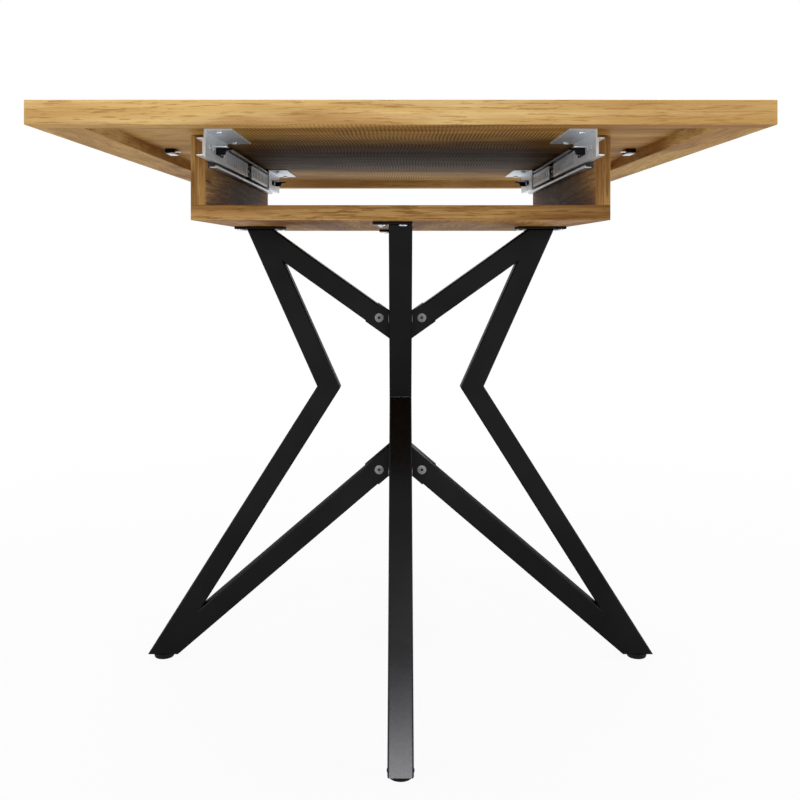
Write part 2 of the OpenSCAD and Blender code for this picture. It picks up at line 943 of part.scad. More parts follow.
module sleeve(up) {
    inner = tube + 2 * sleeve_fit;
    tip = arm_point(up, sleeve_r);
    difference() {
        intersection() {
            upright(2 * sleeve_half)
                bar2d(arm_point(up, 0), tip, 2 * sleeve_half, 0);
            linear_extrude(table_h)
                polygon([
                    [post_w / 2, -post_w / 2],
                    [sleeve_half + touch_gap, -sleeve_half],
                    [2 * sleeve_r, -sleeve_half],
                    [2 * sleeve_r, sleeve_half],
                    [sleeve_half + touch_gap, sleeve_half],
                    [post_w / 2, post_w / 2]
                ]);
        }
        upright(inner)
            bar2d(arm_point(up, 0), tip, inner, tube);
        translate([hub_bolt_r, 0, arm_z(up, hub_bolt_r)])
            rotate([90, 0, 0])
                cylinder(d = cap_nut_d + 2 * screw_fit, h = 3 * sleeve_half, center = true);
    }
}

module hub_sleeves() {
    color(black_steel)
        for (where = ["right", "rear", "left", "front"], up = [true, false])
            turned(where)
                sleeve(up);
}

// A flat head with its hex socket, seated at z = 0, and what stands under it
module connector_end() {
    difference() {
        union() {
            cylinder(d = hub_head_d, h = hub_head_h);
            children();
        }
        translate([0, 0, hub_head_h - socket_depth])
            cylinder(d = socket_af / cos(30), h = socket_depth + over, $fn = 6);
    }
}

// A connector bolt from one side, and the cap nut that it screws into from the other
module hub_bolt() {
    bolt_l = 2 * sleeve_half - cap_nut_floor - cap_nut_spare;
    rotate([90, 0, 0])
        translate([0, 0, sleeve_half])
            connector_end()
                translate([0, 0, -bolt_l])
                    cylinder(d = hub_bolt_d, h = bolt_l);
    rotate([-90, 0, 0])
        translate([0, 0, sleeve_half])
            connector_end()
                translate([0, 0, -cap_nut_l])
                    difference() {
                        cylinder(d = cap_nut_d, h = cap_nut_l);
                        translate([0, 0, -over])
                            cylinder(d = hub_bolt_d + 2 * screw_fit,
                                h = cap_nut_l - cap_nut_floor + over);
                    }
}

module hub_bolts() {
    color(zinc)
        for (where = ["right", "rear", "left", "front"], up = [true, false])
            turned(where)
                scale_side(plate_way(where))
                    translate([hub_bolt_r, 0, arm_z(up, hub_bolt_r)])
                        hub_bolt();
}

module glides() {
    color(black_plastic)
        for (where = ["right", "rear", "left", "front"])
            turned(where)
                translate([glide_r, 0, 0]) {
                    cylinder(d1 = glide_low_d, d2 = glide_top_d, h = glide_h);
                    cylinder(d = glide_stud_d, h = glide_h + foot_plate_t + glide_stud_d);
                }
}

top_board("front");  // top_board_front
end_strip("front");  // end_strip_front
side_strip("left", "front");  // side_strip_front_left
side_strip("right", "front");  // side_strip_front_right
bracket("left", "front");  // bracket_front_left
bracket("right", "front");  // bracket_front_right
runner("left", "front");  // runner_front_left
runner("right", "front");  // runner_front_right
rack("left", "front");  // rack_front_left
rack("right", "front");  // rack_front_right
bracket_screws("front");  // bracket_screws_front
rivets("front");  // rivets_front
fitting_blocks("front");  // fitting_blocks_front
fitting_plates("front");  // fitting_plates_front
seam_dowels();
lever("left", "front");  // lever_front_left
lever("right", "front");  // lever_front_right
lever_pins("front");  // lever_pins_front
ball_cages("front");  // ball_cages_front
balls("front");  // balls_front
top_board("rear");  // top_board_rear
end_strip("rear");  // end_strip_rear
side_strip("left", "rear");  // side_strip_rear_left
side_strip("right", "rear");  // side_strip_rear_right
bracket("left", "rear");  // bracket_rear_left
bracket("right", "rear");  // bracket_rear_right
runner("left", "rear");  // runner_rear_left
runner("right", "rear");  // runner_rear_right
rack("left", "rear");  // rack_rear_left
rack("right", "rear");  // rack_rear_right
bracket_screws("rear");  // bracket_screws_rear
rivets("rear");  // rivets_rear
fitting_blocks("rear");  // fitting_blocks_rear
fitting_plates("rear");  // fitting_plates_rear
lever("left", "rear");  // lever_rear_left
lever("right", "rear");  // lever_rear_right
lever_pins("rear");  // lever_pins_rear
ball_cages("rear");  // ball_cages_rear
balls("rear");  // balls_rear
box_floor();
side_panel("left");  // side_panel_left
side_panel("right");  // side_panel_right
box_dowels();
rail("left");  // rail_left
rail("right");  // rail_right
rail_screws();
pinion("left");  // pinion_left
pinion("right");  // pinion_right
pinion_pins();
leg_frame("front");  // leg_frame_front
leg_frame("rear");  // leg_frame_rear
leg_frame("left");  // leg_frame_left
leg_frame("right");  // leg_frame_right
leg_plates();
plate_bolts();
hub_post();
hub_sleeves();
hub_bolts();
glides();
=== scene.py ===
import json
import math
import bmesh
import bpy
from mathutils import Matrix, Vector

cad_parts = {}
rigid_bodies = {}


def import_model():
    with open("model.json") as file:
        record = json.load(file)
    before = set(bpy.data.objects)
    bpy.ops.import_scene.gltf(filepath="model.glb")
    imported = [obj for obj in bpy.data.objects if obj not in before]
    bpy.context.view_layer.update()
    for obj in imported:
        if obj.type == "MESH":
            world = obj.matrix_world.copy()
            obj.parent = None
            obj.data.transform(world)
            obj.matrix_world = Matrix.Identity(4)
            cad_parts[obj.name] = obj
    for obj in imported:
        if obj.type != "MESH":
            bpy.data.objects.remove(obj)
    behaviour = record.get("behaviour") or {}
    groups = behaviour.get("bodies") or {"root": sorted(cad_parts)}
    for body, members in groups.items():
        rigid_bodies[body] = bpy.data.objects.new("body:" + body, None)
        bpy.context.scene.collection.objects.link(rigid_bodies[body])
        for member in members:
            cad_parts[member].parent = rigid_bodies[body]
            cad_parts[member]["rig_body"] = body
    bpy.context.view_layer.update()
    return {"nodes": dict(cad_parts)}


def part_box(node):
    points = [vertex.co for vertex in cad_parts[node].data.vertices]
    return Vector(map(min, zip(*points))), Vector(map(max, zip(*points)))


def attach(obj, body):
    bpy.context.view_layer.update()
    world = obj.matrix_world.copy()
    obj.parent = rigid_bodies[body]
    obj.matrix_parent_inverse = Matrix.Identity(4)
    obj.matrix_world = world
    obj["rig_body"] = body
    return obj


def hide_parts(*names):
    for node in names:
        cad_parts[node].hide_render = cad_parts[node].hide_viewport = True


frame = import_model()
nodes = frame["nodes"]
scene = bpy.context.scene
print("stage: frame loaded,", len(nodes), "nodes")


# Camera and light

# The photograph's view: level, one point perspective, centred on the front leg
view = {
    "distance": 1.519,  # camera to the table's middle, m
    "height": 0.5966,
    "side": -0.0007,
    "lens": 46.08,  # mm, like the sensor's width
    "sensor": 36,
    "shiftDown": 0.1828,
    "clipStart": 0.01,
}


def makeCamera(v):
    data = bpy.data.cameras.new("photoCamera")
    data.sensor_width = v["sensor"]
    data.lens = v["lens"]
    data.shift_y = -v["shiftDown"]
    data.clip_start = v["clipStart"]
    camera = bpy.data.objects.new("photoCamera", data)
    camera.location = (v["side"], -v["distance"], v["height"])
    camera.rotation_euler = (math.radians(90), 0, 0)
    scene.collection.objects.link(camera)
    scene.camera = camera


# The key is a small card whose upper edge the front foot mirrors
lamps = {
    "key": {"place": (0.0, -3.08, 1.90), "aim": (0, -0.2, 0.3), "size": (0.8, 0.34), "watts": 37},
    "top": {"place": (0.0, 0.5, 3.0), "aim": (0, 0, 0.7), "size": (2.4, 2.4), "watts": 60},
    "left": {"place": (-2.8, -0.9, 1.3), "aim": (0, 0, 0.5), "size": (1.2, 2.0), "watts": 26},
    "right": {"place": (2.8, -0.9, 1.3), "aim": (0, 0, 0.5), "size": (1.2, 2.0), "watts": 26},
    "back": {"place": (0.0, 3.0, 2.0), "aim": (0, 0, 0.5), "size": (2.6, 1.2), "watts": 30},
    "lowLeft": {"place": (-2.4, -1.4, 0.3), "aim": (0.2, -0.2, 0.7), "size": (0.9, 0.5), "watts": 10},
    "lowRight": {"place": (2.4, -1.4, 0.3), "aim": (-0.2, -0.2, 0.7), "size": (0.9, 0.5), "watts": 10},
}


def makeLamp(name, v):
    data = bpy.data.lights.new(name, "AREA")
    data.shape = "RECTANGLE"
    data.size = v["size"][0]
    data.size_y = v["size"][1]
    data.energy = v["watts"]
    lamp = bpy.data.objects.new(name, data)
    place = Vector(v["place"])
    lamp.location = place
    lamp.rotation_euler = (Vector(v["aim"]) - place).to_track_quat("-Z", "Y").to_euler()
    scene.collection.objects.link(lamp)


makeCamera(view)
for lampName, lampValues in lamps.items():
    makeLamp(lampName, lampValues)
scene.view_settings.view_transform = "Standard"


# Node helpers: a Wire is one output socket, and arithmetic on it adds Math nodes

class Wire:
    def __init__(self, tree, socket=None):
        self.tree = tree
        self.socket = socket

    # Adds a node. Its settings come first, then the values or links of its sockets.
    def add(self, kind, settings=None, sockets=None, out=0):
        made = self.tree.nodes.new(kind)
        for name, value in (settings or {}).items():
            setattr(made, name, value)
        for name, value in (sockets or {}).items():
            target = made.inputs[name]
            if isinstance(value, Wire):
                self.tree.links.new(value.socket, target)
            else:
                target.default_value = value
        return Wire(self.tree, made.outputs[out])

    # Another output of the node that this one comes from
    def also(self, out):
        return Wire(self.tree, self.socket.node.outputs[out])

    def math(self, operation, *values):
        return self.add("ShaderNodeMath", {"operation": operation}, dict(enumerate(values or (self,))))

    def __add__(self, other):
        return self.math("ADD", self, other)

    def __radd__(self, other):
        return self.math("ADD", other, self)

    def __sub__(self, other):
        return self.math("SUBTRACT", self, other)

    def __rsub__(self, other):
        return self.math("SUBTRACT", other, self)

    def __mul__(self, other):
        return self.math("MULTIPLY", self, other)

    def abs(self):
        return self.math("ABSOLUTE", self)

    # A wave from 0 to 1 that repeats each time self grows by 1
    def wave(self):
        return (self * math.tau).math("SINE") * 0.5 + 0.5

    # 0 below low, 1 above high, smooth between
    def step(self, low, high):
        settings = {"interpolation_type": "SMOOTHSTEP"}
        values = {"Value": self, "From Min": low, "From Max": high, "To Min": 0.0, "To Max": 1.0}
        return self.add("ShaderNodeMapRange", settings, values)

    def split(self):
        x = self.add("ShaderNodeSeparateXYZ", None, {0: self})
        return [x, x.also(1), x.also(2)]

    def join(self, x, y, z):
        return self.add("ShaderNodeCombineXYZ", None, {0: x, 1: y, 2: z})

    def noise(self, vector, detail=3.0, roughness=0.55, scale=1.0):
        values = {"Vector": vector, "Scale": scale, "Detail": detail, "Roughness": roughness}
        return self.add("ShaderNodeTexNoise", None, values)

    # Colour a where mask is 0, colour b blended over it where it is 1
    def mix(self, mask, a, b, blend="MIX"):
        settings = {"data_type": "RGBA", "blend_type": blend}
        return self.add("ShaderNodeMix", settings, {0: mask, 6: a, 7: b}, out=2)

    def bump(self, height, strength, distance):
        values = {"Height": height, "Strength": strength, "Distance": distance}
        return self.add("ShaderNodeBump", None, values)


# A colour as read on screen, 0 to 255, as the shader wants it
def tone(red, green, blue):
    parts = []
    for value in (red, green, blue):
        share = value / 255
        parts.append(share / 12.92 if share <= 0.04045 else ((share + 0.055) / 1.055) ** 2.4)
    return (*parts, 1.0)


def newMaterial(name):
    material = bpy.data.materials.new(name)
    material.use_nodes = True
    tree = material.node_tree
    tree.nodes.clear()
    start = Wire(tree)
    place = start.add("ShaderNodeTexCoord", out="Object")
    return material, start, place


def finishMaterial(material, start, sockets, surface=None):
    shader = surface or start.add("ShaderNodeBsdfPrincipled", None, sockets)
    output = start.tree.nodes.new("ShaderNodeOutputMaterial")
    start.tree.links.new(shader.socket, output.inputs["Surface"])
    return material


# 1 along the outer edges of a piece, 0 on its faces
def edgeMask(start, radius):
    rounded = start.add("ShaderNodeBevel", {"samples": 6}, {"Radius": radius})
    flat = start.add("ShaderNodeNewGeometry", out="Normal")
    settings = {"operation": "DOT_PRODUCT"}
    same = start.add("ShaderNodeVectorMath", settings, {0: rounded, 1: flat}, out="Value")
    return 1.0 - same.step(0.80, 0.995)


# Rustic oak. Grain, figure, knots and saw marks are given for the faces that look along X, Y and Z.
oakTop = {
    "pale": (223, 193, 134),
    "mid": (204, 168, 104),
    "brown": (152, 108, 58),
    "red": (160, 108, 62),
    "dark": (86, 55, 31),
    "knot": (40, 25, 16),
    # The next tone darkens and warms the faces that look down: painted shade
    "under": (255, 242, 206),
    "grain": {"x": "y", "y": "x", "z": "y"},
    "figure": {"x": 0.10, "y": 0.06, "z": 0.5},
    "bend": (0.035, 0.14),  # how far the grain wanders, at least and more in wild zones
    "ripple": 0.0065,
    "depthShift": 43.0,  # how fast the print changes with depth
    "knots": {"x": 1.0, "y": 0.0, "z": 1.0},
    "knotCells": (2.3, 4.6),  # cells a metre, along and across
    "knotBow": 0.014,  # how far the grain bows round a knot, m
    "saw": {"x": 0.0, "y": 0.0, "z": 0.2},
    "sawPitch": 0.0046,
    "sawSway": 0.026,
    "sawReach": (0.17, 0.26),  # where they fade, along the grain from the middle, m
    "sawFade": 0.85,
    "sanded": 0.9,  # how much fainter the saw marks are on the upper face
    "ringPitch": 0.0038,
    "rings": 0.5,
    "streakScale": 90,
    "streakEdge": (0.36, 0.62),
    "aged": 0.5,
    "agedFrom": (0.02, 0.26),
    "wearReach": 0.0012,
    "roughness": 0.55,
    "gloss": 0.06,
}
# The boards' grain runs across the table, and the saw left arcs across the grain
oakBoard = {
    **oakTop,
    "grain": {"x": "y", "y": "x", "z": "x"},
    "figure": {"x": 0.10, "y": 0.06, "z": 0.35},
    "saw": {"x": 0.0, "y": 0.0, "z": 1.0},
}
oakEndStrip = {**oakBoard, "saw": {"x": 0.0, "y": 0.0, "z": 0.6}}
# The box's oak is darker than the top's: painted shade for the shadow that the top casts on the box. The
# panels start from it.
oakBox = {
    **oakTop,
    "saw": {"x": 0.0, "y": 0.0, "z": 0.6},
    "aged": 0.0,
    "pale": (208, 166, 104),
    "mid": (176, 133, 77),
    "brown": (126, 84, 44),
    "red": (136, 84, 48),
    "dark": (70, 44, 25),
    # The next tone darkens and warms the faces that look down: painted shade
    "under": (255, 240, 200),
    "streakScale": 150,
    "streakEdge": (0.43, 0.57),
}
oakPanel = {
    **oakBox,
    "pale": (200, 158, 98),
    "mid": (158, 118, 67),
    "grain": {"x": "y", "y": "z", "z": "y"},
    "figure": {"x": 0.4, "y": 0.05, "z": 0.3},
    "saw": {"x": 0.6, "y": 0.0, "z": 0.0},
    "sawPitch": 0.004,
}
# How squarely a face looks along an axis to get that axis's print, and up or down to count as level
faceTurn = (0.68, 0.74)
levelTurn = (0.7, 0.9)
# Noise of the print: scale along and across the grain, detail, roughness, and a shift
oakNoise = {
    "slow": (3.1, 8.0, 1.0, 0.55, 0.0),
    "small": (19.0, 34.0, 2.0, 0.55, 0.0),
    "wobble": (30.0, 44.0, 2.0, 0.55, 0.0),
    "dashes": (32.0, 560.0, 3.0, 0.62, 0.0),
    "pores": (60.0, 1500.0, 2.0, 0.7, 0.0),
    "streaks": (3.6, 1.0, 4.0, 0.62, 0.0),
    "blotches": (2.5, 13.0, 3.0, 0.55, 0.0),
    "warm": (3.3, 22.0, 2.0, 0.55, 9.0),
    "sway": (4.0, 5.0, 1.0, 0.55, 5.0),
    "bite": (11.0, 16.0, 3.0, 0.55, 2.0),
    "crack": (5.0, 90.0, 3.0, 0.6, 7.0),
}
# How much each layer of the print covers the ones before
oakCover = {
    "warm": 0.5,
    "blotches": 0.72,
    "dashes": 0.7,
    "pores": 0.5,
    "stain": 0.75,
    "saw": 0.78,
    "crack": 0.8,
    "halo": 0.75,
    "heart": 0.9,
    "edge": 0.3,
}


def oakMaterial(name, v):
    material, start, place = newMaterial(name)
    axes = dict(zip("xyz", place.split()))
    normal = start.add("ShaderNodeTexCoord", out="Normal")
    # Along the grain, across it, the depth under the face, and how far the grain bends
    along = across = depth = figure = knots = sawn = 0.0
    facing = normal.split()
    for axis, part in zip("xyz", facing):
        mask = part.abs().step(*faceTurn)
        grainAxis = v["grain"][axis]
        crossAxis = [a for a in "xyz" if a not in (axis, grainAxis)][0]
        along = mask * axes[grainAxis] + along
        across = mask * axes[crossAxis] + across
        depth = mask * axes[axis] + depth
        figure = mask * v["figure"][axis] + figure
        knots = mask * v["knots"][axis] + knots
        sawn = mask * v["saw"][axis] + sawn
    # Faces at different depths get their own stretch of the print
    layer = depth * v["depthShift"]

    def grained(kind, over):
        alongScale, acrossScale, detail, roughness, shift = oakNoise[kind]
        where = start.join(along * alongScale, over * acrossScale, layer + shift if shift else layer)
        return start.noise(where, detail, roughness)

    def lay(under, mask, toneName, blend="MIX"):
        return start.mix(mask, under, tone(*v[toneName]), blend)

    slow = grained("slow", across)
    small = grained("small", across)
    zone = start.noise(start.join(along * 1.7 + 4.0, across * 2.7, layer), detail=1.0).step(0.40, 0.60)
    # Knots: the grain bows round them
    wobble = grained("wobble", across)
    cellsAlong, cellsAcross = v["knotCells"]
    cell = start.join(along * cellsAlong + layer * 1.7, across * cellsAcross + layer * 0.9, 0.0)
    near = start.add("ShaderNodeTexVoronoi", {"voronoi_dimensions": "2D"}, {"Vector": cell, "Scale": 1.0})
    size = near.also("Color").split()[0].step(0.25, 1.0)
    reach = near + wobble * 0.07 - 0.035 + (1.0 - size) * 0.12
    bow = (1.0 - reach.step(0.0, 0.34)) * knots
    calm, wild = v["bend"]
    flow = across + (slow - 0.5) * (zone * wild + calm) * figure
    flow = flow + (small - 0.5) * v["ripple"] * figure + bow * v["knotBow"]
    # Growth rings, dashes of late wood, pores, streaks and stains follow the flow
    rings = (flow * (1 / v["ringPitch"])).wave().step(0.40, 0.85)
    dashes = grained("dashes", flow)
    pores = grained("pores", flow)
    streaks = grained("streaks", flow * v["streakScale"])
    blotches = grained("blotches", flow)
    warm = grained("warm", flow)
    colour = start.mix(streaks.step(*v["streakEdge"]), tone(*v["pale"]), tone(*v["mid"]))
    colour = lay(colour, warm.step(0.46, 0.68) * oakCover["warm"], "red")
    colour = lay(colour, blotches.step(0.46, 0.64) * oakCover["blotches"], "brown")
    colour = lay(colour, rings * (figure * (zone * 0.5 + 0.3) * v["rings"] + 0.06), "brown")
    colour = lay(colour, dashes.step(0.53, 0.63) * oakCover["dashes"], "brown")
    colour = lay(colour, pores.step(0.60, 0.76) * oakCover["pores"], "dark")
    stain = blotches.step(0.56, 0.70) * streaks.step(0.50, 0.62)
    colour = lay(colour, stain * oakCover["stain"], "dark")
    # Saw marks bend slowly, are deeper in some places, and fade to the sides and on the upper face
    bent = along + (grained("sway", across) - 0.5) * v["sawSway"]
    bite = grained("bite", across).step(0.30, 0.62)
    saw = (bent * (1 / v["sawPitch"]) + (small - 0.5) * 0.15).wave().step(0.10, 0.90)
    sawn = sawn * (1.0 - along.abs().step(*v["sawReach"]) * v["sawFade"])
    saw = saw * (bite * 0.7 + 0.3) * sawn * (1.0 - facing[2].step(*levelTurn) * v["sanded"])
    colour = lay(colour, saw * oakCover["saw"], "dark")
    # Cracks along the grain
    colour = lay(colour, grained("crack", flow).step(0.69, 0.76) * knots * oakCover["crack"], "knot")
    # The front band's right half is browner
    aged = along.step(*v["agedFrom"]) * facing[1].abs().step(*faceTurn) * v["aged"]
    colour = lay(colour, aged, "brown")
    halo = (1.0 - reach.step(0.03, 0.17)) * knots
    heart = (1.0 - reach.step(0.02, 0.06)) * knots
    colour = lay(colour, halo * oakCover["halo"], "dark")
    colour = lay(colour, heart * oakCover["heart"], "knot")
    colour = lay(colour, edgeMask(start, v["wearReach"]) * oakCover["edge"], "pale")
    # Faces that look down are multiplied by a warmer, darker tint: painted shade, warmed as by light thrown
    # back from the wood around; the wood underneath is the same
    colour = lay(colour, (facing[2] * -1.0).step(*levelTurn), "under", "MULTIPLY")
    relief = 1.0 - pores.step(0.58, 0.76) * 0.5 - dashes.step(0.5, 0.75) * 0.4 - heart * 0.6 - saw * 0.3
    return finishMaterial(material, start, {
        "Base Color": colour,
        "Roughness": v["roughness"] + (dashes - 0.5) * 0.2 + heart * 0.1,
        "Specular IOR Level": v["gloss"],
        "Normal": start.bump(relief, 0.35, 0.0003),
    })


# Matt black powder coat. It is set as a dark metal, because the edge tint of a metal
# keeps it dark where it is seen at a flat angle, as the real coat is.
powderCoat = {
    "colour": (29, 29, 30),
    "cloudy": (34, 34, 35),
    "worn": (74, 74, 76),
    "wear": 0.4,
    "wearReach": 0.0016,
    "edgeTint": 0.02,
    "roughness": 0.21,
}


def powderMaterial(name, v):
    material, start, place = newMaterial(name)
    cloud = start.noise(place, detail=3.0, scale=9.0)
    grit = start.noise(place, detail=2.0, roughness=0.6, scale=1500.0)
    orange = start.noise(place, detail=1.0, scale=420.0)
    scuff = start.noise(place, detail=4.0, roughness=0.7, scale=60.0)
    worn = edgeMask(start, v["wearReach"]) * scuff.step(0.50, 0.72)
    colour = start.mix(cloud.step(0.3, 0.7), tone(*v["colour"]), tone(*v["cloudy"]))
    colour = start.mix(worn * v["wear"], colour, tone(*v["worn"]))
    return finishMaterial(material, start, {
        "Base Color": colour,
        "Metallic": 1.0,
        "Roughness": v["roughness"] + (cloud - 0.5) * 0.08 + (grit - 0.5) * 0.10,
        "Specular Tint": (v["edgeTint"], v["edgeTint"], v["edgeTint"], 1.0),
        "Normal": start.bump(grit * 0.6 + orange, 0.10, 0.00025),
    })


# Bright zinc on rolled sheet: faint rolling lines, small clouds, and painted shade, near black, where it is
# tight
zincSheet = {
    "colour": (239, 247, 254),
    "dull": (206, 216, 226),
    "worn": (244, 245, 247),
    # The near black below is painted shade for sockets, seats and tight corners
    "dirty": (12, 12, 13),
    # A near black for grease and painted shade inside the rails
    "greaseAndShadeTone": (14, 14, 15),
    "metal": 0.6,
    "roughness": 0.36,
    "wear": 0.4,
    "wearReach": 0.0006,
    # How strong the painted shade is, and how far round a tight place it reaches, m
    "dirt": 0.25,
    "recessShadeReach": 0.003,
}
# Screws and bolts get more painted shade in their sockets and at their seats
zincScrew = {**zincSheet, "colour": (242, 243, 246), "metal": 0.7, "roughness": 0.25, "dirt": 0.6}
zincBolt = {**zincSheet, "colour": (134, 136, 139), "dull": (120, 122, 125), "roughness": 0.45, "dirt": 1.0}
# The racks are painted a much darker zinc than they are: painted shade, so that the runners' slots show dark
rackShadeTones = {**zincSheet, "colour": (38, 39, 40), "dull": (24, 25, 26), "roughness": 0.45}
# Sheet thicknesses, m
bracketSheet = 0.002
slideSheet = 0.0014


def zincMaterial(name, v):
    material, start, place = newMaterial(name)
    x, y, z = place.split()
    rolling = start.noise(start.join(x * 900, y * 24, z * 900), detail=3.0, roughness=0.6)
    cloud = start.noise(place, detail=4.0, roughness=0.6, scale=70.0)
    scratch = start.noise(start.join(x * 2600, y * 60, z * 2200), detail=2.0)
    worn = edgeMask(start, v["wearReach"]) * v["wear"]
    # Painted shade: the colour goes near black where little of the surroundings is open
    reach = {"Distance": v["recessShadeReach"]}
    openness = start.add("ShaderNodeAmbientOcclusion", {"samples": 8}, reach, out="AO")
    dirt = 1.0 - openness.step(0.5, 0.85)
    colour = start.mix(cloud.step(0.45, 0.8) * 0.5, tone(*v["colour"]), tone(*v["dull"]))
    colour = start.mix(worn, colour, tone(*v["worn"]))
    colour = start.mix(dirt * v["dirt"], colour, tone(*v["dirty"]))
    return finishMaterial(material, start, {
        "Base Color": colour,
        "Metallic": v["metal"],
        "Roughness": v["roughness"] + cloud.step(0.35, 0.8) * 0.12 + (rolling - 0.5) * 0.12,
        "Normal": start.bump(rolling * 0.7 + scratch.step(0.55, 0.75), 0.08, 0.0001),
    })


# Inside the rails, from a distance out from the table's middle, the sheet is dark: partly grease and partly
# painted shade, so that the runners' slots show dark
def greasedAndShadedZinc(name, v, fromOut):
    material, start, place = newMaterial(name)
    x, y, z = place.split()
    smear = start.noise(start.join(x * 200, y * 30, z * 400), detail=3.0)
    # The dark inside of the rails is partly grease and partly painted shade
    greaseAndShade = x.abs().step(fromOut - 0.0006, fromOut)
    colour = start.mix(smear.step(0.4, 0.8) * 0.5, tone(*v["colour"]), tone(*v["dull"]))
    colour = start.mix(greaseAndShade * (smear * 0.2 + 0.8), colour, tone(*v["greaseAndShadeTone"]))
    return finishMaterial(material, start, {
        "Base Color": colour,
        "Metallic": v["metal"],
        "Roughness": v["roughness"] + (smear - 0.5) * 0.15,
        "Normal": start.bump(smear, 0.06, 0.0001),
    })


blackPlastic = {
    "colour": (9, 9, 9),
    "dusty": (38, 37, 36),
    "worn": (62, 62, 62),
    "wear": 0.25,
    "wearReach": 0.0007,
    "roughness": 0.5,
    "gloss": 0.12,
}


def plasticMaterial(name, v):
    material, start, place = newMaterial(name)
    leather = start.noise(place, detail=2.0, roughness=0.5, scale=1300.0)
    dust = start.noise(place, detail=4.0, roughness=0.65, scale=45.0)
    worn = edgeMask(start, v["wearReach"])
    colour = start.mix(dust.step(0.5, 0.8) * 0.3, tone(*v["colour"]), tone(*v["dusty"]))
    colour = start.mix(worn * v["wear"], colour, tone(*v["worn"]))
    return finishMaterial(material, start, {
        "Base Color": colour,
        "Roughness": v["roughness"] + (leather - 0.5) * 0.15 + dust.step(0.5, 0.8) * 0.08,
        "Specular IOR Level": v["gloss"],
        "Normal": start.bump(leather, 0.14, 0.0002),
    })


ballSteel = {"colour": (214, 216, 220), "filmed": (168, 170, 174), "roughness": 0.12}


def ballMaterial(name, v):
    material, start, place = newMaterial(name)
    film = start.noise(place, detail=3.0, scale=240.0)
    colour = start.mix(film.step(0.4, 0.8), tone(*v["colour"]), tone(*v["filmed"]))
    return finishMaterial(material, start, {
        "Base Color": colour,
        "Metallic": 1.0,
        "Roughness": v["roughness"] + film * 0.1,
    })


plainBeech = {"colour": (206, 172, 124), "flecked": (168, 130, 86), "roughness": 0.62}


def beechMaterial(name, v):
    material, start, place = newMaterial(name)
    x, y, z = place.split()
    flecks = start.noise(start.join(x * 900, y * 140, z * 140), detail=3.0)
    colour = start.mix(flecks.step(0.45, 0.7), tone(*v["colour"]), tone(*v["flecked"]))
    return finishMaterial(material, start, {
        "Base Color": colour,
        "Roughness": v["roughness"] + flecks * 0.1,
        "Normal": start.bump(flecks, 0.2, 0.0002),
    })


# 1 for what the eye, a gloss or a clear piece sees, 0 for what only lights others.
# Gloss and clear pieces see as much of the white as their share says.
def seenDirectly(start, glossShare=1.0):
    eye = start.add("ShaderNodeLightPath", out="Is Camera Ray")
    other = eye.math("MAXIMUM", eye.also("Is Glossy Ray"), eye.also("Is Transmission Ray"))
    return eye.math("MAXIMUM", eye, other * glossShare)


# The floor is white, with a faint shadow under the table that gloss shows more of
studioFloor = {
    "size": 60,
    "below": 0.0005,
    "bounce": 196,  # the floor's own tone, 0 to 255, for the light that it throws back
    "shadowShare": 0.06,
    "shadowEnd": (0.6, 2.2),
    "glossEnd": (0.1, 1.0),
    "glossLow": 0.25,
}
studioAir = {"light": 0.42, "seen": 1.0}


def floorMaterial(name, v):
    material, start, place = newMaterial(name)
    speck = start.noise(place, detail=2.0, scale=14.0)
    pale = v["bounce"]
    paint = start.mix(speck, tone(pale, pale, pale - 1), tone(pale + 4, pale + 4, pale + 3))
    away = start.add("ShaderNodeVectorMath", {"operation": "LENGTH"}, {0: place}, out="Value")
    white = away.step(*v["shadowEnd"]) * v["shadowShare"] + (1.0 - v["shadowShare"])
    matt = start.add("ShaderNodeBsdfDiffuse", None, {"Color": paint})
    glow = start.add("ShaderNodeEmission", None, {"Color": (1, 1, 1, 1), "Strength": 1.0})
    gloss = away.step(*v["glossEnd"]) * (1 - v["glossLow"]) + v["glossLow"]
    shown = seenDirectly(start, gloss) * white
    both = start.add("ShaderNodeMixShader", None, {0: shown, 1: matt, 2: glow})
    return finishMaterial(material, start, None, both)


def makeWorld(v):
    world = bpy.data.worlds.new("studio")
    world.use_nodes = True
    scene.world = world
    tree = world.node_tree
    tree.nodes.clear()
    start = Wire(tree)
    soft = start.add("ShaderNodeBackground", None, {"Color": (1, 1, 1, 1), "Strength": v["light"]})
    white = start.add("ShaderNodeBackground", None, {"Color": (1, 1, 1, 1), "Strength": v["seen"]})
    both = start.add("ShaderNodeMixShader", None, {0: seenDirectly(start), 1: soft, 2: white})
    output = tree.nodes.new("ShaderNodeOutputWorld")
    tree.links.new(both.socket, output.inputs["Surface"])


makeWorld(studioAir)
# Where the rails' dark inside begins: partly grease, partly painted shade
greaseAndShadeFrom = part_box("rail_right")[1].x - 1.3 * slideSheet
materials = {
    "oakTop": oakMaterial("oakTop", oakTop),
    "oakBoard": oakMaterial("oakBoard", oakBoard),
    "oakEndStrip": oakMaterial("oakEndStrip", oakEndStrip),
    "oakBox": oakMaterial("oakBox", oakBox),
    "oakPanel": oakMaterial("oakPanel", oakPanel),
    "powder": powderMaterial("powder", powderCoat),
    "zinc": zincMaterial("zinc", zincSheet),
    "railZinc": greasedAndShadedZinc("railZinc", zincSheet, greaseAndShadeFrom),
    "screwZinc": zincMaterial("screwZinc", zincScrew),
    "boltZinc": zincMaterial("boltZinc", zincBolt),
    "rackShadeZinc": zincMaterial("rackShadeZinc", rackShadeTones),
    "plastic": plasticMaterial("plastic", blackPlastic),
    "ball": ballMaterial("ball", ballSteel),
    "beech": beechMaterial("beech", plainBeech),
    "floor": floorMaterial("floor", studioFloor),
}
print("stage: materials made")


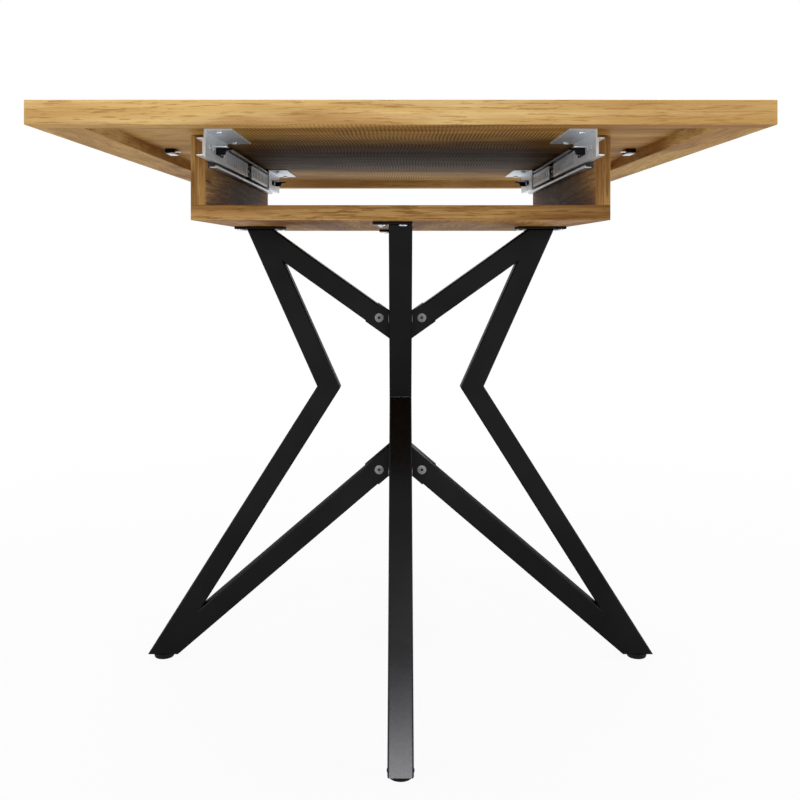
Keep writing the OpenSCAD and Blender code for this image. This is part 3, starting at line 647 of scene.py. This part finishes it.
# Mesh helpers: lengths in m, angles in degrees
meshCare = {"merge": 0.000002, "flat": 0.4, "fold": 25, "smooth": 34}
halves = ("front", "rear")
sides = ("left", "right")


# A piece is named like the node that it replaces, in camel case
def camel(nodeName):
    first, *rest = nodeName.split("_")
    return first + "".join(word.capitalize() for word in rest)


def linkObject(name, mesh):
    made = bpy.data.objects.new(name, mesh)
    scene.collection.objects.link(made)
    return made


def makeFloor(v):
    mesh = bpy.data.meshes.new("studioFloor")
    half = v["size"] / 2
    corners = [(x * half, y * half, -v["below"]) for x, y in ((-1, -1), (1, -1), (1, 1), (-1, 1))]
    mesh.from_pydata(corners, [], [(0, 1, 2, 3)])
    mesh.materials.append(materials["floor"])
    linkObject("studioFloor", mesh)


# A copy of a CAD node's mesh with its loose triangles merged into clean faces
def cleanCopy(nodeName):
    work = bmesh.new()
    work.from_mesh(nodes[nodeName].data)
    bmesh.ops.remove_doubles(work, verts=work.verts, dist=meshCare["merge"])
    bmesh.ops.dissolve_limit(work, angle_limit=math.radians(meshCare["flat"]), verts=work.verts,
        edges=work.edges)
    return work


# The lowest and highest corner of each separate solid of a node
def solidBoxes(nodeName):
    work = cleanCopy(nodeName)
    boxes = []
    seen = set()
    for first in work.verts:
        if first in seen:
            continue
        seen.add(first)
        pile = [first]
        places = []
        while pile:
            vert = pile.pop()
            places.append(vert.co.copy())
            for edge in vert.link_edges:
                other = edge.other_vert(vert)
                if other not in seen:
                    seen.add(other)
                    pile.append(other)
        low = Vector([min(p[i] for p in places) for i in range(3)])
        high = Vector([max(p[i] for p in places) for i in range(3)])
        boxes.append((low, high))
    work.free()
    return boxes


def dress(piece, nodeName):
    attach(piece, nodes[nodeName]["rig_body"])
    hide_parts(nodeName)


# Gives a node rounded edges: weigh(edge) returns 0 for a sharp edge, up to 1 for the full width
def roundNode(nodeName, width, material, weigh, segments=3):
    work = cleanCopy(nodeName)
    layer = work.edges.layers.float.new("bevel_weight_edge")
    for edge in work.edges:
        folded = edge.is_manifold and edge.calc_face_angle(0.0) > math.radians(meshCare["fold"])
        share = weigh(edge) if folded else 0.0
        edge[layer] = share
        edge.smooth = share > 0 or not folded
    mesh = bpy.data.meshes.new(camel(nodeName))
    work.to_mesh(mesh)
    work.free()
    for face in mesh.polygons:
        face.use_smooth = True
    mesh.materials.append(materials[material])
    piece = linkObject(camel(nodeName), mesh)
    bevel = piece.modifiers.new("roundedEdges", "BEVEL")
    bevel.limit_method = "WEIGHT"
    bevel.width = width
    bevel.segments = segments
    bevel.harden_normals = True
    bevel.use_clamp_overlap = True
    weighted = piece.modifiers.new("weightedNormals", "WEIGHTED_NORMAL")
    weighted.keep_sharp = True
    dress(piece, nodeName)


def paintNode(nodeName, material):
    mesh = nodes[nodeName].data
    mesh.materials.clear()
    mesh.materials.append(materials[material])


makeFloor(studioFloor)


# Wood: small rounded arrises, but none where an edge band covers a joint
def longEdge(least):
    return lambda edge: 1.0 if edge.calc_length() > least else 0.0


def edgeMiddle(edge):
    return (edge.verts[0].co + edge.verts[1].co) / 2


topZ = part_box("top_board_front")[1].z
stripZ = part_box("end_strip_front")[0].z
levelPlay = 0.0003


def levelEdge(height):
    def weigh(edge):
        flat = abs(edge.verts[0].co.z - edge.verts[1].co.z) < levelPlay
        return 1.0 if flat and abs(edgeMiddle(edge).z - height) < levelPlay else 0.0
    return weigh


woodRound = {"board": 0.0009, "strip": 0.0007, "box": 0.0006, "boxEdge": 0.017}

for half in halves:
    roundNode(f"top_board_{half}", woodRound["board"], "oakBoard", levelEdge(topZ))
    roundNode(f"end_strip_{half}", woodRound["strip"], "oakEndStrip", levelEdge(stripZ))
    for side in sides:
        roundNode(f"side_strip_{half}_{side}", woodRound["strip"], "oakTop", levelEdge(stripZ))
roundNode("box_floor", woodRound["box"], "oakBox", longEdge(woodRound["boxEdge"]))
for side in sides:
    roundNode(f"side_panel_{side}", woodRound["box"], "oakPanel", longEdge(woodRound["boxEdge"]))
print("stage: wood made")


# Leg frames: the long edges of the square tube are drawn round
tubeRound = {"radius": 0.0022, "segments": 4, "shortest": 0.006, "mitre": 0.25}
# Plates, post and sleeves: the rounding's width, and the shortest edge that gets it
steelRound = {"leg_plates": (0.0007, 0.003), "hub_post": (0.0015, 0.2), "hub_sleeves": (0.0007, 0.006)}
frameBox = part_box("leg_frame_left")
halfTube = (frameBox[1].y - frameBox[0].y) / 2


def tubeEdge(acrossAxis, v):
    def weigh(edge):
        a, b = (vert.co[acrossAxis] for vert in edge.verts)
        outside = abs(abs(a) - halfTube) < levelPlay and abs(a - b) < levelPlay
        if outside and edge.calc_length() > v["shortest"]:
            return 1.0
        return v["mitre"] if abs(a - b) > halfTube * 1.9 else 0.0
    return weigh


for where in halves + sides:
    acrossAxis = 0 if where in halves else 1
    roundNode(f"leg_frame_{where}", tubeRound["radius"], "powder",
        tubeEdge(acrossAxis, tubeRound), tubeRound["segments"])
for nodeName, (width, shortest) in steelRound.items():
    roundNode(nodeName, width, "powder", longEdge(shortest))
print("stage: legs made")


# Turned and pressed small parts: closed solids of stacked rings

down = Vector((0, 0, -1))
up = Vector((0, 0, 1))
shankGap = 0.00002  # a shank's last ring lies this far under its head
holeRing = 0.0005  # the innermost ring of a socket's floor


# A radius is a number, or a function of the angle
def addRings(work, rings, count):
    loops = []
    for height, radius in rings:
        loop = []
        for i in range(count):
            angle = math.tau * i / count
            reach = radius(angle) if callable(radius) else radius
            loop.append(work.verts.new((reach * math.cos(angle), reach * math.sin(angle), height)))
        loops.append(loop)
    for low, high in zip(loops, loops[1:]):
        for i in range(count):
            j = (i + 1) % count
            work.faces.new((low[i], low[j], high[j], high[i]))
    work.faces.new(loops[0][::-1])
    work.faces.new(loops[-1])


def hexagon(acrossFlats):
    def radius(angle):
        turn = math.radians(30) - angle % math.radians(60)
        return acrossFlats / 2 / math.cos(turn)
    return radius


def cross(reach, halfArm):
    def radius(angle):
        turn = abs((angle + math.pi / 4) % (math.pi / 2) - math.pi / 4)
        return min(reach / math.cos(turn), halfArm / max(math.sin(turn), 0.01))
    return radius


# Heights and radii of a dome from its rim to near its top
def dome(base, high, rim, top, steps=5):
    rings = []
    for i in range(steps + 1):
        angle = math.pi / 2 * i / steps
        share = 1 - math.cos(angle)
        rings.append((base + high * math.sin(angle), rim + (top - rim) * share))
    return rings


def shank(low, radius, tip):
    return [(low, radius - tip), (low + tip, radius)]


def makePrototype(name, solids, count):
    work = bmesh.new()
    for rings in solids:
        addRings(work, rings, count)
    mesh = bpy.data.meshes.new(name)
    work.to_mesh(mesh)
    work.free()
    mesh.shade_smooth()
    mesh.set_sharp_from_angle(angle=math.radians(meshCare["smooth"]))
    return bpy.data.objects.new(name, mesh)


# A geometry tree starts with its named inputs
def newTree(name, inputs):
    tree = bpy.data.node_groups.new(name, "GeometryNodeTree")
    for label, kind in inputs.items():
        tree.interface.new_socket(label, in_out="INPUT", socket_type=kind)
    tree.interface.new_socket("Geometry", in_out="OUTPUT", socket_type="NodeSocketGeometry")
    given = tree.nodes.new("NodeGroupInput")
    return tree, Wire(tree), {label: Wire(tree, given.outputs[label]) for label in inputs}


def finishTree(tree, start, shape, material):
    real = start.add("GeometryNodeRealizeInstances", None, {"Geometry": shape})
    done = start.add("GeometryNodeSetMaterial", None, {"Geometry": real, "Material": material})
    output = tree.nodes.new("NodeGroupOutput")
    tree.links.new(done.socket, output.inputs["Geometry"])
    return tree


# Sets one part on each point, its Z axis along the point's aim, turned by a seeded angle
def fastenerTree():
    tree, start, given = newTree("fasteners", {
        "Geometry": "NodeSocketGeometry",
        "Part": "NodeSocketObject",
        "Size": "NodeSocketFloat",
        "Turn": "NodeSocketFloat",
        "Seed": "NodeSocketInt",
        "Material": "NodeSocketMaterial",
    })
    aim = start.add("GeometryNodeInputNamedAttribute", {"data_type": "FLOAT_VECTOR"}, {"Name": "aim"})
    facing = start.add("FunctionNodeAlignRotationToVector", {"axis": "Z"}, {"Vector": aim})
    angle = start.add("FunctionNodeRandomValue", {"data_type": "FLOAT"},
        {2: 0.0, 3: given["Turn"], 8: given["Seed"]}, out=1)
    spin = start.add("FunctionNodeAxisAngleToRotation", None, {"Axis": (0, 0, 1), "Angle": angle})
    turned = start.add("FunctionNodeRotateRotation", {"rotation_space": "LOCAL"}, {0: facing, 1: spin})
    part = start.add("GeometryNodeObjectInfo", None, {"Object": given["Part"]}, out="Geometry")
    placed = start.add("GeometryNodeInstanceOnPoints", None,
        {"Points": given["Geometry"], "Instance": part, "Rotation": turned, "Scale": given["Size"]})
    return finishTree(tree, start, placed, given["Material"])


def ballTree():
    tree, start, given = newTree("bearingBalls", {
        "Geometry": "NodeSocketGeometry",
        "Radius": "NodeSocketFloat",
        "Segments": "NodeSocketInt",
        "Rings": "NodeSocketInt",
        "Material": "NodeSocketMaterial",
    })
    ball = start.add("GeometryNodeMeshUVSphere", None,
        {"Segments": given["Segments"], "Rings": given["Rings"], "Radius": given["Radius"]}, out="Mesh")
    placed = start.add("GeometryNodeInstanceOnPoints", None, {"Points": given["Geometry"], "Instance": ball})
    smooth = start.add("GeometryNodeSetShadeSmooth", None, {"Geometry": placed})
    return finishTree(tree, start, smooth, given["Material"])


# Runs a tree on points and keeps the result as a plain mesh that replaces a node
def growOnPoints(nodeName, tree, points, aims, values):
    mesh = bpy.data.meshes.new(camel(nodeName))
    mesh.from_pydata(points, [], [])
    aim = mesh.attributes.new("aim", "FLOAT_VECTOR", "POINT")
    for i, way in enumerate(aims):
        aim.data[i].vector = way
    piece = linkObject(camel(nodeName), mesh)
    grown = piece.modifiers.new("grown", "NODES")
    grown.node_group = tree
    for item in tree.interface.items_tree:
        if item.in_out == "INPUT" and item.name in values:
            grown[item.identifier] = values[item.name]
    depsgraph = bpy.context.evaluated_depsgraph_get()
    plain = bpy.data.meshes.new_from_object(piece.evaluated_get(depsgraph))
    piece.modifiers.clear()
    piece.data = plain
    dress(piece, nodeName)


trees = {"fastener": fastenerTree(), "ball": ballTree()}


def setFasteners(nodeName, prototype, spots, material, turn=0.0, seed=3):
    points = [spot[0] for spot in spots]
    aims = [spot[1] for spot in spots]
    values = {"Part": prototype, "Size": 1.0, "Turn": turn, "Seed": seed, "Material": materials[material]}
    growOnPoints(nodeName, trees["fastener"], points, aims, values)


# Where a bolt's head seats: its box's end on the aim's side, less the head's height
def seatOf(box, aim, headHigh):
    middle = (box[0] + box[1]) / 2
    for i in range(3):
        if aim[i] < 0:
            middle[i] = box[0][i] + headHigh
        elif aim[i] > 0:
            middle[i] = box[1][i] - headHigh
    return middle


def longestAxis(box):
    sizes = box[1] - box[0]
    return max(range(3), key=lambda i: sizes[i])


# Flat connector bolts of the hub: a bolt from one side and a cap nut from the other
hubBolt = {
    "head": 0.0065,
    "headHigh": 0.0012,
    "rim": 0.0003,
    "bolt": 0.003,
    "tip": 0.0006,
    "nut": 0.004,
    "nutLong": 0.015,
    "nutFloor": 0.0028,
    "nutPlay": 0.0001,
    "socket": 0.004,
    "socketDeep": 0.0024,
    "sides": 48,
}


# A flat head with its hex socket, as heights out from the seat
def connectorHead(v):
    head, high, rim = v["head"], v["headHigh"], v["rim"]
    socket, floor = hexagon(v["socket"]), high - v["socketDeep"]
    return [(0, head - rim), (rim, head), (high - rim, head), (high - rim * 0.3, head - rim * 0.3),
        (high, head - rim * 1.4), (high, hexagon(v["socket"] + rim)), (high - rim, socket),
        (floor, socket), (floor, holeRing)]


# The bolt's seat is at 0, and the nut's lies a grip below it
def hubBoltPrototype(v, boltLong, grip):
    bolt = shank(v["headHigh"] - boltLong, v["bolt"], v["tip"]) + [(-shankGap, v["bolt"])] + connectorHead(v)
    bore = v["bolt"] + v["nutPlay"]
    nut = [(-grip - height, radius) for height, radius in reversed(connectorHead(v))]
    nut += [(-grip + shankGap, v["nut"]), (-grip + v["nutLong"], v["nut"]),
        (-grip + v["nutLong"], bore), (-grip + v["nutFloor"], bore)]
    return makePrototype("hubBoltPrototype", [bolt, nut], v["sides"])


# A bolt's head is at the end that lies further out
def hubBoltSpots(v):
    spots = []
    for box in solidBoxes("hub_bolts"):
        axis = longestAxis(box)
        if (box[1] - box[0])[axis] > v["nutLong"] + v["headHigh"] * 2:
            aim = Vector((0, 0, 0))
            aim[axis] = 1.0 if abs(box[1][axis]) > abs(box[0][axis]) else -1.0
            spots.append((seatOf(box, aim, v["headHigh"]), aim, (box[1] - box[0])[axis]))
    return spots


hubSpots = hubBoltSpots(hubBolt)
firstSeat, firstAim, boltLong = hubSpots[0]
setFasteners("hub_bolts", hubBoltPrototype(hubBolt, boltLong, 2 * firstSeat.dot(firstAim)), hubSpots,
    "boltZinc")

# Button head bolts under the leg plates
plateBolt = {
    "head": 0.0055,
    "headHigh": 0.002,
    "rim": 0.0003,
    "domeFrom": 0.0006,
    "domeTop": 0.0029,
    "shank": 0.003,
    "tip": 0.0008,
    "socket": 0.004,
    "socketRim": 0.0002,
    "socketDeep": 0.001,
    "sides": 36,
    "seed": 5,
}


def plateBoltPrototype(v, length):
    socket, floor = hexagon(v["socket"]), v["headHigh"] - v["socketDeep"]
    bolt = shank(v["headHigh"] - length, v["shank"], v["tip"])
    bolt += [(-shankGap, v["shank"]), (0, v["head"] - v["rim"]), (v["rim"], v["head"])]
    bolt += dome(v["domeFrom"], v["headHigh"] - v["domeFrom"], v["head"], v["domeTop"])
    bolt += [(v["headHigh"] - v["socketRim"], socket), (floor, socket), (floor, holeRing)]
    return makePrototype("plateBoltPrototype", [bolt], v["sides"])


plateBoxes = solidBoxes("plate_bolts")
plateSpots = [(seatOf(box, down, plateBolt["headHigh"]), down) for box in plateBoxes]
plateLong = plateBoxes[0][1].z - plateBoxes[0][0].z
setFasteners("plate_bolts", plateBoltPrototype(plateBolt, plateLong), plateSpots, "screwZinc",
    math.tau, plateBolt["seed"])

# Glides: turned plastic feet with a rounded rim and a step under the tube
glideShape = {
    "stud": 0.004,
    "studTip": 0.0008,
    "step": 0.002,
    "rim": 0.0012,
    "lip": 0.0014,
    "lipFoot": 0.0006,
    "lipTop": 0.0003,
    "sides": 48,
}


def glidePrototype(v, box, footZ):
    reach = (box[1].x - box[0].x) / 2
    low = reach - v["step"]
    high = box[1].z
    rings = [(0.0, low - v["rim"] * 1.6), (v["rim"] * 0.3, low - v["rim"] * 0.5), (v["rim"], low)]
    rings += [(footZ - v["lip"] - v["lipFoot"], reach - v["lipFoot"]), (footZ - v["lip"], reach),
        (footZ - v["lipTop"], reach), (footZ, reach - v["lipTop"]), (footZ, v["stud"])]
    rings += [(high - v["studTip"], v["stud"]), (high, v["stud"] - v["studTip"])]
    return makePrototype("glidePrototype", [rings], v["sides"])


glideBoxes = solidBoxes("glides")
glideSpots = [(Vector(((b[0].x + b[1].x) / 2, (b[0].y + b[1].y) / 2, 0)), up) for b in glideBoxes]
setFasteners("glides", glidePrototype(glideShape, glideBoxes[0], frameBox[0].z), glideSpots, "plastic")
print("stage: bolts and glides made")


# Slides and brackets: bent sheet, round at the folds
sheetFold = {"radius": 0.0022, "inside": 0.7, "rim": 0.1, "shortest": 0.0019, "foldLong": 0.02}
slideRadius = sheetFold["radius"] * 0.7
leverRound = {"width": 0.0005, "shortest": 0.0012}


# Folds are given as [out, up] places; other long edges only lose their burr
def foldWeights(outer, inner, v):
    def weigh(edge):
        a, b = (vert.co for vert in edge.verts)
        if edge.calc_length() < v["shortest"]:
            return 0.0
        if abs(a.y - b.y) > v["foldLong"]:
            middle = edgeMiddle(edge)
            for folds, share in ((outer, 1.0), (inner, v["inside"])):
                for out, high in folds:
                    if abs(abs(middle.x) - out) < levelPlay and abs(middle.z - high) < levelPlay:
                        return share
        return v["rim"]
    return weigh


def reachOf(box):
    inside = min(abs(box[0].x), abs(box[1].x))
    outside = max(abs(box[0].x), abs(box[1].x))
    return inside, outside


for half in halves:
    for side in sides:
        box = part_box(f"bracket_{half}_{side}")
        out = reachOf(box)[1]
        roundNode(f"bracket_{half}_{side}", sheetFold["radius"], "zinc",
            foldWeights([(out, box[1].z)], [(out - bracketSheet, box[1].z - bracketSheet)], sheetFold))
        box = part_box(f"runner_{half}_{side}")
        web = reachOf(box)[0]
        inner = [(web + slideSheet, box[0].z + slideSheet), (web + slideSheet, box[1].z - slideSheet)]
        roundNode(f"runner_{half}_{side}", slideRadius, "zinc",
            foldWeights([(web, box[0].z), (web, box[1].z)], inner, sheetFold))
        roundNode(f"lever_{half}_{side}", leverRound["width"], "plastic",
            longEdge(leverRound["shortest"]))
        # The racks get the dark zinc: painted shade behind the runners' slots
        paintNode(f"rack_{half}_{side}", "rackShadeZinc")
for side in sides:
    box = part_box(f"rail_{side}")
    lip, back = reachOf(box)
    outer = [(u, z) for u in (lip, back) for z in (box[0].z, box[1].z)]
    inner = [(u, z) for u in (lip + slideSheet, back - slideSheet)
        for z in (box[0].z + slideSheet, box[1].z - slideSheet)]
    roundNode(f"rail_{side}", slideRadius, "railZinc", foldWeights(outer, inner, sheetFold))
    paintNode(f"pinion_{side}", "plastic")

# Pan head wood screws with a cross recess
woodScrew = {
    "head": 0.004,
    "headHigh": 0.0022,
    "rim": 0.0002,
    "domeFrom": 0.0006,
    "domeTop": 0.0027,
    "shank": 0.002,
    "point": 0.0002,
    "pointLong": 0.003,
    "cross": 0.0024,
    "arm": 0.00055,
    "deep": 0.0013,
    "sides": 48,
    "seed": 11,
}


def woodScrewPrototype(v, length):
    low = v["headHigh"] - length
    screw = [(low, v["point"]), (low + v["pointLong"], v["shank"]), (-shankGap, v["shank"]),
        (0, v["head"] - v["rim"]), (v["rim"], v["head"])]
    screw += dome(v["domeFrom"], v["headHigh"] - v["domeFrom"], v["head"], v["domeTop"])
    screw += [(v["headHigh"], cross(v["cross"], v["arm"])),
        (v["headHigh"] - v["deep"], cross(v["cross"] * 0.6, v["arm"] * 0.6))]
    return makePrototype("woodScrewPrototype", [screw], v["sides"])


# Rivets: a low dome on the bracket, a flat upset tail in the runner
rivetShape = {
    "head": 0.0034,
    "headHigh": 0.001,
    "domeFrom": 0.0002,
    "domeTop": 0.0008,
    "shank": 0.0016,
    "tail": 0.0024,
    "tailHigh": 0.001,
    "tailRim": 0.0003,
    "sides": 32,
}


def rivetPrototype(v, length):
    low = v["headHigh"] - length
    grip = low + v["tailHigh"]
    rivet = [(low, v["tail"] - v["tailRim"]), (low + v["tailRim"], v["tail"]), (grip, v["tail"]),
        (grip, v["shank"]), (-shankGap, v["shank"]), (0, v["head"])]
    rivet += dome(v["domeFrom"], v["headHigh"] - v["domeFrom"], v["head"], v["domeTop"], steps=6)[1:]
    return makePrototype("rivetPrototype", [rivet], v["sides"])


# Lever pins: a domed head in front of the lever
leverPin = {
    "head": 0.003,
    "headHigh": 0.0008,
    "domeFrom": 0.0002,
    "domeTop": 0.0006,
    "shank": 0.001,
    "tip": 0.0002,
    "sides": 28,
}


def leverPinPrototype(v, length):
    pin = shank(v["headHigh"] - length, v["shank"], v["tip"]) + [(-shankGap, v["shank"]), (0, v["head"])]
    pin += dome(v["domeFrom"], v["headHigh"] - v["domeFrom"], v["head"], v["domeTop"])[1:]
    return makePrototype("leverPinPrototype", [pin], v["sides"])


# Fasteners that run across the table look towards its middle
def inwardSpots(boxes, headHigh):
    spots = []
    for box in boxes:
        aim = Vector((-1.0 if box[0].x > 0 else 1.0, 0, 0))
        spots.append((seatOf(box, aim, headHigh), aim))
    return spots


ballFace = {"Segments": 16, "Rings": 10}
fittingRound = {"block": 0.0008, "plate": 0.0004, "shortest": 0.004}
for half in halves:
    boxes = solidBoxes(f"bracket_screws_{half}")
    spots = [(seatOf(box, down, woodScrew["headHigh"]), down) for box in boxes]
    setFasteners(f"bracket_screws_{half}", woodScrewPrototype(woodScrew, boxes[0][1].z - boxes[0][0].z),
        spots, "screwZinc", math.tau, woodScrew["seed"])
    for kind, prototype, values, material in (
            ("rivets", rivetPrototype, rivetShape, "screwZinc"),
            ("lever_pins", leverPinPrototype, leverPin, "zinc")):
        boxes = solidBoxes(f"{kind}_{half}")
        setFasteners(f"{kind}_{half}", prototype(values, boxes[0][1].x - boxes[0][0].x),
            inwardSpots(boxes, values["headHigh"]), material)
    boxes = solidBoxes(f"balls_{half}")
    centres = [(low + high) / 2 for low, high in boxes]
    radius = (boxes[0][1].z - boxes[0][0].z) / 2
    growOnPoints(f"balls_{half}", trees["ball"], centres, [up] * len(centres),
        {"Radius": radius, **ballFace, "Material": materials["ball"]})
    roundNode(f"fitting_blocks_{half}", fittingRound["block"], "plastic",
        longEdge(fittingRound["shortest"]))
    roundNode(f"fitting_plates_{half}", fittingRound["plate"], "zinc",
        longEdge(fittingRound["shortest"]))
    paintNode(f"ball_cages_{half}", "plastic")
for nodeName in ("rail_screws", "pinion_pins"):
    paintNode(nodeName, "zinc")
for nodeName in ("box_dowels", "seam_dowels"):
    paintNode(nodeName, "beech")
print("stage: slides made")
